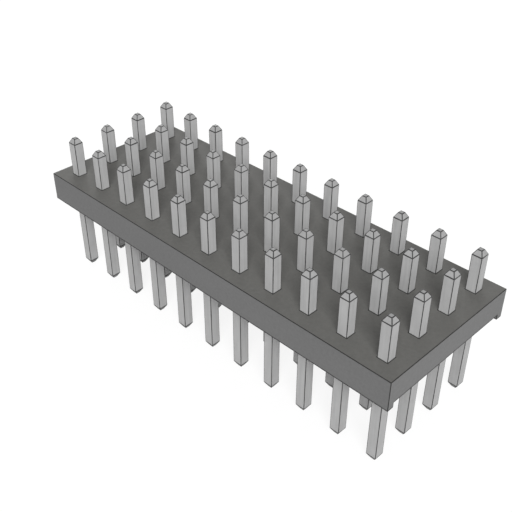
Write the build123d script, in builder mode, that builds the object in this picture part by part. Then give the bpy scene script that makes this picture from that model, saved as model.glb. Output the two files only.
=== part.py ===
from build123d import *
import os

# Pin header: a moulded block carrying a grid of square posts.
# Millimetres, +Z up. The origin is in the middle of the grid, in the plane of the circuit
# board that the block sits on. X runs along the rows, and the front row has the lowest Y.

# Grid of posts
positions = 11
rows = 4
pitch = 2.00
row_pitch = 2.00

# Block: a plate on two low rails, which hold it off the board
end_margin = 1.00
side_margin = 1.00
plate_thickness = 1.25
rail_height = 0.25
rail_width = 0.35

# Square post, with the same point at both ends
post_side = 0.50
height_above_block = 2.05
tail_below_board_face = 4.15
point_length = 0.25
point_flat = 0.22

# Fit of the posts in the block
press_gap = 0.00
lead_in = 0.10

# Sizes that follow from those above
block_length = (positions - 1) * pitch + 2 * end_margin
block_width = (rows - 1) * row_pitch + 2 * side_margin
block_top = rail_height + plate_thickness
channel_width = block_width - 2 * rail_width
hole_side = post_side + 2 * press_gap
flare_side = hole_side + 2 * lead_in
post_length = tail_below_board_face + block_top + height_above_block
point_inset = (post_side - point_flat) / 2

os.makedirs("parts", exist_ok=True)

# Block, moulded in one piece
with BuildPart() as housing:
    # The cross-section runs the whole length, so the channel between the rails is open at both ends.
    with BuildSketch(Plane.YZ):
        with Locations((0, block_top / 2)):
            Rectangle(block_width, block_top)
        with Locations((0, rail_height / 2)):
            Rectangle(channel_width, rail_height, mode=Mode.SUBTRACT)
    extrude(amount=block_length / 2, both=True)

    # One square hole for each post, through the plate.
    with BuildSketch(Plane.XY.offset(rail_height)):
        with GridLocations(pitch, row_pitch, positions, rows):
            Rectangle(hole_side, hole_side)
    extrude(amount=plate_thickness, mode=Mode.SUBTRACT)

    # Each hole is flared at 45 degrees on the hidden underside, where its post is pushed in.
    with BuildSketch(Plane.XY.offset(rail_height)):
        with GridLocations(pitch, row_pitch, positions, rows):
            Rectangle(flare_side, flare_side)
    extrude(amount=lead_in, taper=45, mode=Mode.SUBTRACT)

housing.part.label = "housing"
export_step(housing.part, "parts/housing.step")


def make_post(x, y):
    """A length of square wire standing at x, y, coined to a blunt four-sided point at each end."""
    with BuildPart() as post:
        with BuildSketch(Plane.XY.offset(-tail_below_board_face)):
            with Locations((x, y)):
                Rectangle(post_side, post_side)
        extrude(amount=post_length)
        for end_face in (post.faces().sort_by(Axis.Z)[0], post.faces().sort_by(Axis.Z)[-1]):
            chamfer(end_face.edges(), length=point_inset, length2=point_length, reference=end_face)
    return post.part


# Posts, named by row letter from the front and by position from the left
for row in range(rows):
    for position in range(positions):
        x = (position - (positions - 1) / 2) * pitch
        y = (row - (rows - 1) / 2) * row_pitch
        name = f"pin_{chr(ord('a') + row)}{position + 1}"
        pin = make_post(x, y)
        pin.label = name
        export_step(pin, f"parts/{name}.step")
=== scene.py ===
import math

import bmesh
import bpy
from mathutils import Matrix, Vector


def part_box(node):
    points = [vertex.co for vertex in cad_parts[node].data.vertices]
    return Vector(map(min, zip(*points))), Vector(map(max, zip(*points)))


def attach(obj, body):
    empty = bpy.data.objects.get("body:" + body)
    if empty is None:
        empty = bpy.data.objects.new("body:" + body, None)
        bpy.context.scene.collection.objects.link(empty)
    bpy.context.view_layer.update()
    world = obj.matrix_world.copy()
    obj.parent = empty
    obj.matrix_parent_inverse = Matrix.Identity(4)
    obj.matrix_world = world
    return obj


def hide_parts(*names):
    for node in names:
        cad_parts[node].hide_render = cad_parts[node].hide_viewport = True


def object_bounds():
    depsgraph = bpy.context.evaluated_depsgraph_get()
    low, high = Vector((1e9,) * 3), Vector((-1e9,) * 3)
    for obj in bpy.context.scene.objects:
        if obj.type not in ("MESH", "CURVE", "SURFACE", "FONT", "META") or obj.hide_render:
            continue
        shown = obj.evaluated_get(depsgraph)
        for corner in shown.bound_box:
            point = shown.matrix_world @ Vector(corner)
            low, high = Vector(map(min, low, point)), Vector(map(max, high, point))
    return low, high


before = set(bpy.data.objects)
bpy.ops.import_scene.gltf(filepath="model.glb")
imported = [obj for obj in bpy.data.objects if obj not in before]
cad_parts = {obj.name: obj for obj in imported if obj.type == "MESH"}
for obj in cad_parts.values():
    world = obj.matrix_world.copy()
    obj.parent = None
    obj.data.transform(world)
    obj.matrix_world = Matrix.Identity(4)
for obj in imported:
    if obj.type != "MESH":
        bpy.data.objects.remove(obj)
cad_low, cad_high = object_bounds()

# Pin header: a moulded block and its square pins, each drawn as a mesh with rounded, darkened arrises.
# Metres, +Z up. X runs along the rows, and the front of the object has the lowest Y.
MM = 0.001

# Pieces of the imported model
BLOCK_NODE = "housing"
PIN_NODES = sorted(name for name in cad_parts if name.startswith("pin_"))

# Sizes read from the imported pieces
block_low, block_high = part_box(BLOCK_NODE)
first_pin_low, first_pin_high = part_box(PIN_NODES[0])
PIN_SIDE = first_pin_high.x - first_pin_low.x

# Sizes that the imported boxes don't give
RAIL_HEIGHT = 0.25 * MM
RAIL_WIDTH = 0.35 * MM
FLARE = 0.10 * MM
POINT_LENGTH = 0.25 * MM
POINT_FLAT = 0.22 * MM

# Sizes that follow from those above
HOLE_REACH = PIN_SIDE / 2
FLARE_REACH = HOLE_REACH + FLARE
CHANNEL_CEILING = block_low.z + RAIL_HEIGHT
FLARE_TOP = CHANNEL_CEILING + FLARE
CHANNEL_REACH = block_high.y - RAIL_WIDTH

# Arrises: each edge sharper than this is rounded, and the flats beside it have a band along it
SHARP = math.radians(20)
ROUNDING_STEPS = 3
BLOCK_BAND = 0.048 * MM
BLOCK_ROUNDING = 0.016 * MM
PIN_BAND = 0.050 * MM
PIN_ROUNDING = 0.014 * MM


# Mesh helpers

def flats_of(mesh):
    """The faces of a mesh in groups, each of them the faces that join without a sharp edge."""
    mesh.faces.index_update()
    left = dict.fromkeys(mesh.faces)
    groups = []
    while left:
        group = [next(iter(left))]
        del left[group[0]]
        for face in group:
            for edge in face.edges:
                for other in edge.link_faces:
                    if other in left and edge.calc_face_angle(0) < SHARP:
                        del left[other]
                        group.append(other)
        groups.append(group)
    return groups


def finish_arrises(mesh, band, rounding):
    """Insets a band along each sharp edge and rounds the edge.

    The attribute arris is 1 on the rounding and falls to 0 across the band.
    """
    bmesh.ops.recalc_face_normals(mesh, faces=mesh.faces)
    sharp = [edge for edge in mesh.edges if edge.calc_face_angle(0) > SHARP]
    for flat in flats_of(mesh):
        bmesh.ops.inset_region(mesh, faces=flat, thickness=band, use_even_offset=True, use_boundary=True)
    made = bmesh.ops.bevel(
        mesh, geom=sharp, offset=rounding, offset_type="OFFSET", affect="EDGES",
        segments=ROUNDING_STEPS, profile=0.5, clamp_overlap=True)
    rounded = set(made["faces"])
    arris = mesh.verts.layers.float.new("arris")
    for vert in mesh.verts:
        vert[arris] = float(any(face in rounded for face in vert.link_faces))
    for face in mesh.faces:
        face.smooth = face in rounded
    bmesh.ops.recalc_face_normals(mesh, faces=mesh.faces)


def add_object(name, mesh, material):
    """Makes the object of a finished mesh."""
    data = bpy.data.meshes.new(name)
    mesh.to_mesh(data)
    mesh.free()
    data.materials.append(material)
    item = bpy.data.objects.new(name, data)
    bpy.context.scene.collection.objects.link(item)
    return item


def add_piece(name, mesh, node, material):
    """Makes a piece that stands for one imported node."""
    piece = add_object(name, mesh, material)
    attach(piece, "root")
    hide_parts(node)


# Pins

# The corners of a square, from its middle
SQUARE = ((-1, -1), (1, -1), (1, 1), (-1, 1))


def pin_mesh(low, high):
    """A square wire with a blunt four-sided point at each end, all its arrises rounded."""
    centre = (low + high) / 2
    levels = (
        (low.z, POINT_FLAT / 2),
        (low.z + POINT_LENGTH, PIN_SIDE / 2),
        (high.z - POINT_LENGTH, PIN_SIDE / 2),
        (high.z, POINT_FLAT / 2),
    )
    mesh = bmesh.new()
    rings = [
        [mesh.verts.new((centre.x + sx * half, centre.y + sy * half, z)) for sx, sy in SQUARE]
        for z, half in levels
    ]
    for below, above in zip(rings, rings[1:]):
        for i in range(4):
            j = (i + 1) % 4
            mesh.faces.new((below[i], below[j], above[j], above[i]))
    mesh.faces.new(rings[0][::-1])
    mesh.faces.new(rings[-1])
    finish_arrises(mesh, PIN_BAND, PIN_ROUNDING)
    return mesh


# Block

# Decimals of a metre to which places are told apart
PLACE_DECIMALS = 8


class Faces:
    """A mesh built face by face, whose faces share the corners that lie in the same place."""

    def __init__(self):
        self.mesh = bmesh.new()
        self.made = {}

    def corner(self, place):
        key = tuple(round(value, PLACE_DECIMALS) for value in place)
        if key not in self.made:
            self.made[key] = self.mesh.verts.new(place)
        return self.made[key]

    def add(self, *places):
        self.mesh.faces.new([self.corner(place) for place in places])

    def add_wall(self, start, end, bottom, top):
        """An upright face between two places, each given by its X and Y."""
        self.add((*start, bottom), (*end, bottom), (*end, top), (*start, top))


def add_plate(faces, xs, ys, columns, rows):
    """The top of the plate, its underside and the undersides of the rails, all open at the holes."""

    def in_hole(x, y, reach):
        return any(abs(x - c) < reach for c in columns) and any(abs(y - r) < reach for r in rows)

    for x0, x1 in zip(xs, xs[1:]):
        for y0, y1 in zip(ys, ys[1:]):
            x, y = (x0 + x1) / 2, (y0 + y1) / 2
            top = block_high.z
            under = CHANNEL_CEILING if abs(y) < CHANNEL_REACH else block_low.z
            if not in_hole(x, y, HOLE_REACH):
                faces.add((x0, y0, top), (x1, y0, top), (x1, y1, top), (x0, y1, top))
            if not in_hole(x, y, FLARE_REACH):
                faces.add((x0, y0, under), (x0, y1, under), (x1, y1, under), (x1, y0, under))


def add_long_walls(faces, xs):
    """The outsides of the block and of its rails, and the sides of the channel between the rails."""
    low, high = block_low, block_high
    for x0, x1 in zip(xs, xs[1:]):
        for y in (low.y, high.y):
            faces.add_wall((x0, y), (x1, y), low.z, CHANNEL_CEILING)
            faces.add_wall((x0, y), (x1, y), CHANNEL_CEILING, high.z)
        for y in (-CHANNEL_REACH, CHANNEL_REACH):
            faces.add_wall((x0, y), (x1, y), low.z, CHANNEL_CEILING)


def add_end_walls(faces, ys):
    """The ends of the plate and of the rails."""
    low, high = block_low, block_high
    for x in (low.x, high.x):
        for y0, y1 in zip(ys, ys[1:]):
            faces.add_wall((x, y0), (x, y1), CHANNEL_CEILING, high.z)
        for y0, y1 in (ys[:2], ys[-2:]):
            faces.add_wall((x, y0), (x, y1), low.z, CHANNEL_CEILING)


def add_hole_side(faces, cx, cy, ax, ay):
    """One wall of a hole and the flare below it, on the side to which (ax, ay) points."""
    half, wide = HOLE_REACH, FLARE_REACH

    def point(out, along, z):
        return (cx + ax * out - ay * along, cy + ay * out + ax * along, z)

    def top(along):
        return point(half, along, block_high.z)

    def neck(along):
        return point(half, along, FLARE_TOP)

    def mouth(along):
        return point(wide, along, CHANNEL_CEILING)

    faces.add(neck(-half), neck(half), top(half), top(-half))
    faces.add(mouth(-half), mouth(half), neck(half), neck(-half))
    faces.add(mouth(half), mouth(wide), neck(half))
    faces.add(mouth(-wide), mouth(-half), neck(-half))


def block_mesh(pin_boxes):
    """The moulded block: a plate with a square hole for each pin, flared below, on two rails."""
    low, high = block_low, block_high
    columns = sorted({round((a.x + b.x) / 2, PLACE_DECIMALS) for a, b in pin_boxes})
    rows = sorted({round((a.y + b.y) / 2, PLACE_DECIMALS) for a, b in pin_boxes})
    reaches = (-FLARE_REACH, -HOLE_REACH, HOLE_REACH, FLARE_REACH)
    xs = [low.x] + [c + reach for c in columns for reach in reaches] + [high.x]
    ys = [low.y, -CHANNEL_REACH] + [r + reach for r in rows for reach in reaches] + [CHANNEL_REACH, high.y]
    faces = Faces()
    add_plate(faces, xs, ys, columns, rows)
    add_long_walls(faces, xs)
    add_end_walls(faces, ys)
    for cx in columns:
        for cy in rows:
            for ax, ay in ((1, 0), (0, 1), (-1, 0), (0, -1)):
                add_hole_side(faces, cx, cy, ax, ay)
    finish_arrises(faces.mesh, BLOCK_BAND, BLOCK_ROUNDING)
    return faces.mesh


# Steps of a material

WHITE = (1, 1, 1, 1)

# The detail of every noise, and the two values between which most of it lies
NOISE_DETAIL = 4.0
NOISE_LOW = 0.3
NOISE_HIGH = 0.7

# A dark line along each arris. It ends at this value of the attribute arris, give or take its softness
# and the wear that a noise adds.
LINE_END = 0.6
LINE_SOFTNESS = 0.2
LINE_WEAR = 0.15

# Where two surfaces meet, a line starts above full strength, so that it stays full close to the joint
LINE_START = 1.5


class Nodes:
    """Short names for the steps of a node tree, which starts empty but for its output."""

    def __init__(self, tree, output="ShaderNodeOutputMaterial"):
        self.tree = tree
        self.tree.nodes.clear()
        self.output = self.tree.nodes.new(output)

    def add(self, kind, **settings):
        node = self.tree.nodes.new(kind)
        for key, value in settings.items():
            self.put(node, key, value)
        return node

    def put(self, node, key, value):
        """Sets a property or an input of a node, to a value or from another node's output.

        An input is named with _ for a space, or by its number, such as i0.
        """
        if hasattr(node, key):
            setattr(node, key, value)
            return
        socket = node.inputs[int(key[1:]) if key[1:].isdigit() else key.replace("_", " ")]
        if isinstance(value, bpy.types.NodeSocket):
            self.tree.links.new(value, socket)
        else:
            socket.default_value = value

    def finish(self, shader):
        self.put(self.output, "Surface", shader.outputs[0])

    def math(self, operation, a, b=0.0):
        return self.add("ShaderNodeMath", operation=operation, i0=a, i1=b).outputs[0]

    def times(self, a, b):
        return self.math("MULTIPLY", a, b)

    def span(self, value, low, high, to_low, to_high):
        """Carries the range from low to high over to another range, and goes no further at either end."""
        node = self.add(
            "ShaderNodeMapRange", Value=value, From_Min=low, From_Max=high, To_Min=to_low, To_Max=to_high)
        return node.outputs[0]

    def noise(self, scale, shares=(1, 1, 1), roughness=0.5):
        """A noise on the object, with about scale times share features to the millimetre on each axis."""
        place = self.add("ShaderNodeTexCoord").outputs["Object"]
        per_metre = [share / MM for share in shares]
        place = self.add("ShaderNodeMapping", Vector=place, Scale=per_metre).outputs[0]
        node = self.add(
            "ShaderNodeTexNoise", Vector=place, Scale=scale, Detail=NOISE_DETAIL, Roughness=roughness)
        return node.outputs["Fac"]

    def vary(self, noise, low, high):
        """Spreads a noise over a range."""
        return self.span(noise, NOISE_LOW, NOISE_HIGH, low, high)

    def place(self):
        """The place on the object along X, Y and Z, in metres."""
        place = self.add("ShaderNodeTexCoord").outputs["Object"]
        return self.add("ShaderNodeSeparateXYZ", Vector=place).outputs

    def facing(self):
        """The parts of the surface's direction along X, Y and Z."""
        normal = self.add("ShaderNodeNewGeometry").outputs["Normal"]
        return self.add("ShaderNodeSeparateXYZ", Vector=normal).outputs

    def arris_line(self, wear):
        """1 on an arris and 0 on the flats, with a soft step in the band that a noise makes uneven."""
        near = self.add("ShaderNodeAttribute", attribute_name="arris").outputs["Fac"]
        near = self.math("ADD", near, self.vary(wear, -LINE_WEAR, LINE_WEAR))
        return self.span(near, LINE_END - LINE_SOFTNESS, LINE_END + LINE_SOFTNESS, 0.0, 1.0)

    def joint_line(self, away, reach):
        """1 or more beside a joint and 0 beyond its reach."""
        return self.span(away, 0.0, reach, LINE_START, 0.0)

    def seen_rays(self):
        """1 for the rays that the camera, gloss and glass see by, and 0 for those that light things."""
        path = self.add("ShaderNodeLightPath").outputs
        seen = self.math("MAXIMUM", path["Is Camera Ray"], path["Is Glossy Ray"])
        return self.math("MAXIMUM", seen, path["Is Transmission Ray"])


def new_material(name):
    material = bpy.data.materials.new(name)
    material.use_nodes = True
    return material


# Plastic of the block. Scales are features to the millimetre, and a pair is a range that a noise fills.
PLASTIC_TONE = (0.157, 0.171)
PLASTIC_ROUGHNESS = (0.60, 0.70)
PLASTIC_SPECULAR = 0.12

# The flow of the moulding is drawn out along the block
FLOW_SCALE = 1.0
FLOW_SHARES = (0.25, 0.6, 0.6)

# The fine grain of the surface
GRAIN_SCALE = 7.0
GRAIN_ROUGHNESS = 0.65
GRAIN_TONE = (0.93, 1.07)
GRAIN_BUMP = 0.25
GRAIN_HEIGHT = 0.004 * MM

# Shares of the tone on the dark lines, on the ends (painted light) and on top (painted shade, painted warm
# tint)
PLASTIC_LINE = 0.19
PAINTED_END_LIGHT = 1.12
PAINTED_TOP_SHADE = 0.70
PAINTED_TOP_WARM_LIGHT = (1.01, 1.0, 0.952)

# The dark line along the foot of a wall
FOOT_LINE = 0.09 * MM

# A face counts as turned to an axis where the part of its direction along it is more than the first of
# these, and fully where it is more than the second
TURNED = (0.5, 0.95)


def block_material():
    material = new_material("moulded_grey_plastic")
    nodes = Nodes(material.node_tree)
    place, facing = nodes.place(), nodes.facing()
    flow = nodes.noise(FLOW_SCALE, FLOW_SHARES)
    grain = nodes.noise(GRAIN_SCALE, roughness=GRAIN_ROUGHNESS)
    tone = nodes.times(nodes.vary(flow, *PLASTIC_TONE), nodes.vary(grain, *GRAIN_TONE))

    # Dark lines along the arrises and along the foot of each wall, which is higher between the rails
    between_rails = nodes.math("LESS_THAN", nodes.math("ABSOLUTE", place["Y"]), CHANNEL_REACH)
    foot = nodes.math("ADD", block_low.z, nodes.times(between_rails, RAIL_HEIGHT))
    above_foot = nodes.math("SUBTRACT", place["Z"], foot)
    upright = nodes.math("LESS_THAN", nodes.math("ABSOLUTE", facing["Z"]), TURNED[0])
    foot_line = nodes.times(nodes.joint_line(above_foot, FOOT_LINE), upright)
    line = nodes.math("MAXIMUM", nodes.arris_line(grain), foot_line)
    tone = nodes.times(tone, nodes.span(line, 0.0, 1.0, 1.0, PLASTIC_LINE))

    # Painted light on the ends, and painted shade with a painted warm tint on top
    endways = nodes.math("ABSOLUTE", facing["X"])
    tone = nodes.times(tone, nodes.span(endways, *TURNED, 1.0, PAINTED_END_LIGHT))
    tone = nodes.times(tone, nodes.span(facing["Z"], *TURNED, 1.0, PAINTED_TOP_SHADE))
    upward = nodes.span(facing["Z"], *TURNED, 0.0, 1.0)
    painted_top_tint = nodes.add("ShaderNodeMix", data_type="VECTOR", i0=upward, i4=WHITE[:3], i5=PAINTED_TOP_WARM_LIGHT).outputs[1]
    colour = nodes.add("ShaderNodeVectorMath", operation="SCALE", i0=painted_top_tint, Scale=tone).outputs[0]

    bump = nodes.add("ShaderNodeBump", Height=grain, Strength=GRAIN_BUMP, Distance=GRAIN_HEIGHT).outputs[0]
    nodes.finish(nodes.add(
        "ShaderNodeBsdfPrincipled", Base_Color=colour, Roughness=nodes.vary(flow, *PLASTIC_ROUGHNESS),
        Specular_IOR_Level=PLASTIC_SPECULAR, Normal=bump))
    return material


# Tin plating of the pins. Scales are features to the millimetre, and a pair is a range that a noise fills.
TIN_TONE = (0.405, 0.435)
TIN_ROUGHNESS = (0.48, 0.60)
TIN_METALLIC = 0.10
TIN_SPECULAR = 0.15
CLOUD_SCALE = 1.6

# Fine lines along the drawn wire
DRAWN_SCALE = 9.0
DRAWN_SHARES = (1.0, 1.0, 0.05)
DRAWN_ROUGHNESS = 0.65
DRAWN_TONE = (0.92, 1.08)
DRAWN_BUMP = 0.2
DRAWN_HEIGHT = 0.003 * MM

# Shares of the tone on the dark lines, and painted shade on what faces down, on the points and once more
# on their flats
TIN_LINE = 0.12
PAINTED_UNDER_SHADE = 0.7
PAINTED_POINT_SHADE = 0.75
PAINTED_FLAT_SHADE = 0.80

# A painted shadow line where a pin enters the block, and a dark line where its lower point starts
SEAT_SHADOW = 0.03 * MM
POINT_LINE = 0.06 * MM

# The Z part of a surface's direction is 0 on a pin's sides, 0.49 on its upper point and 1 on the flat of
# that point, and below it is negative. These pairs divide one from the next.
SIDE_TO_POINT = (0.2, 0.4)
POINT_TO_FLAT = (0.7, 0.9)


def pin_material():
    material = new_material("matte_tin_plating")
    nodes = Nodes(material.node_tree)
    height, upward = nodes.place()["Z"], nodes.facing()["Z"]
    drawn = nodes.noise(DRAWN_SCALE, DRAWN_SHARES, DRAWN_ROUGHNESS)
    cloud = nodes.noise(CLOUD_SCALE)
    tone = nodes.times(nodes.vary(cloud, *TIN_TONE), nodes.vary(drawn, *DRAWN_TONE))

    # Painted shade on the points and flats, and more of it on all that faces down
    endways = nodes.math("ABSOLUTE", upward)
    downward = nodes.times(upward, -1.0)
    tone = nodes.times(tone, nodes.span(downward, *SIDE_TO_POINT, 1.0, PAINTED_UNDER_SHADE))
    tone = nodes.times(tone, nodes.span(endways, *SIDE_TO_POINT, 1.0, PAINTED_POINT_SHADE))
    tone = nodes.times(tone, nodes.span(endways, *POINT_TO_FLAT, 1.0, PAINTED_FLAT_SHADE))

    # Dark lines along the arrises and at the lower point, and a painted shadow line at the seat
    line = nodes.arris_line(cloud)
    for level, reach in ((block_high.z, SEAT_SHADOW), (first_pin_low.z + POINT_LENGTH, POINT_LINE)):
        away = nodes.math("ABSOLUTE", nodes.math("SUBTRACT", height, level))
        line = nodes.math("MAXIMUM", line, nodes.joint_line(away, reach))
    tone = nodes.times(tone, nodes.span(line, 0.0, 1.0, 1.0, TIN_LINE))

    bump = nodes.add("ShaderNodeBump", Height=drawn, Strength=DRAWN_BUMP, Distance=DRAWN_HEIGHT).outputs[0]
    nodes.finish(nodes.add(
        "ShaderNodeBsdfPrincipled", Base_Color=tone, Metallic=TIN_METALLIC,
        Roughness=nodes.vary(drawn, *TIN_ROUGHNESS), Specular_IOR_Level=TIN_SPECULAR, Normal=bump))
    return material


# Places around the object are given by an azimuth, which is 0 in front of it and 90 at its right end,
# and an elevation, both in degrees.

def aim(item, target, azimuth, elevation, distance):
    """Puts a camera or a lamp at a distance from its target and aims it there."""
    turn, tilt = math.radians(azimuth), math.radians(elevation)
    away = Vector((math.sin(turn) * math.cos(tilt), -math.cos(turn) * math.cos(tilt), math.sin(tilt)))
    item.location = target + away * distance
    item.rotation_euler = (-away).to_track_quat("-Z", "Y").to_euler()
    bpy.context.scene.collection.objects.link(item)


# Camera: it sees the three axes foreshortened alike
CAMERA_AZIMUTH = 45
CAMERA_ELEVATION = math.degrees(math.atan(math.sqrt(0.5)))
CAMERA_DISTANCE = 39.24 * MM
CAMERA_NEAR = 1 * MM
CAMERA_FAR = 10.0

# The photo's side and the camera's focal length, both in the photo's pixels
PHOTO_SIDE = 512
FOCAL_LENGTH = 807.96


def add_camera():
    data = bpy.data.cameras.new("camera")
    data.angle = 2 * math.atan(PHOTO_SIDE / 2 / FOCAL_LENGTH)
    data.clip_start = CAMERA_NEAR
    data.clip_end = CAMERA_FAR
    camera = bpy.data.objects.new("camera", data)
    aim(camera, (cad_low + cad_high) / 2, CAMERA_AZIMUTH, CAMERA_ELEVATION, CAMERA_DISTANCE)
    bpy.context.scene.camera = camera


# Floor: white to the camera. Close to the object it glows a little less and the light on it makes up the
# rest, so that the object's shadow shows.
FLOOR_SIZE = 4.0
FLOOR_PAINT = (0.15, 0.15, 0.15, 1)
FLOOR_GLOW = (0.86, 1.0)
FLOOR_GLOW_REACH = (20 * MM, 100 * MM)


def floor_material():
    material = new_material("white_floor")
    nodes = Nodes(material.node_tree)
    place = nodes.add("ShaderNodeTexCoord").outputs["Object"]
    away = nodes.add("ShaderNodeVectorMath", operation="LENGTH", i0=place).outputs["Value"]
    glow = nodes.times(nodes.seen_rays(), nodes.span(away, *FLOOR_GLOW_REACH, *FLOOR_GLOW))
    light = nodes.add("ShaderNodeEmission", Color=WHITE, Strength=glow)
    paint = nodes.add("ShaderNodeBsdfDiffuse", Color=FLOOR_PAINT)
    above = nodes.add("ShaderNodeAddShader", i0=light.outputs[0], i1=paint.outputs[0])

    # Clear from below, so that the underside can be looked at
    from_below = nodes.add("ShaderNodeNewGeometry").outputs["Backfacing"]
    clear = nodes.add("ShaderNodeBsdfTransparent")
    nodes.finish(nodes.add("ShaderNodeMixShader", i0=from_below, i1=above.outputs[0], i2=clear.outputs[0]))
    return material


def add_floor():
    mesh = bmesh.new()
    bmesh.ops.create_grid(mesh, x_segments=1, y_segments=1, size=FLOOR_SIZE / 2)
    floor = add_object("floor", mesh, floor_material())
    floor.location.z = cad_low.z


# World: white to the camera, and a soft light from all around to the object
WORLD_LIGHT = 0.45


def add_world():
    world = bpy.data.worlds.new("studio")
    bpy.context.scene.world = world
    world.use_nodes = True
    nodes = Nodes(world.node_tree, "ShaderNodeOutputWorld")
    soft = nodes.add("ShaderNodeBackground", Color=WHITE, Strength=WORLD_LIGHT)
    white = nodes.add("ShaderNodeBackground", Color=WHITE, Strength=1.0)
    nodes.finish(nodes.add(
        "ShaderNodeMixShader", i0=nodes.seen_rays(), i1=soft.outputs[0], i2=white.outputs[0]))


# Lamps: large and soft, a key close to the camera's direction and a weak low one behind the object
LAMP_SIZE = 0.6
LAMP_DISTANCE = 1.0


def add_lamp(name, azimuth, elevation, watts):
    data = bpy.data.lights.new(name, "AREA")
    data.shape = "SQUARE"
    data.size = LAMP_SIZE
    data.energy = watts
    aim(bpy.data.objects.new(name, data), Vector(), azimuth, elevation, LAMP_DISTANCE)


# Making

pin_boxes = [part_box(name) for name in PIN_NODES]
add_piece("block", block_mesh(pin_boxes), BLOCK_NODE, block_material())
tin = pin_material()
for name, (low, high) in zip(PIN_NODES, pin_boxes):
    add_piece("plated_" + name, pin_mesh(low, high), name, tin)

add_camera()
add_floor()
add_world()
add_lamp("key_lamp", azimuth=46.5, elevation=34, watts=12.4)
add_lamp("back_lamp", azimuth=227, elevation=3, watts=8.0)
bpy.context.scene.view_settings.view_transform = "Standard"
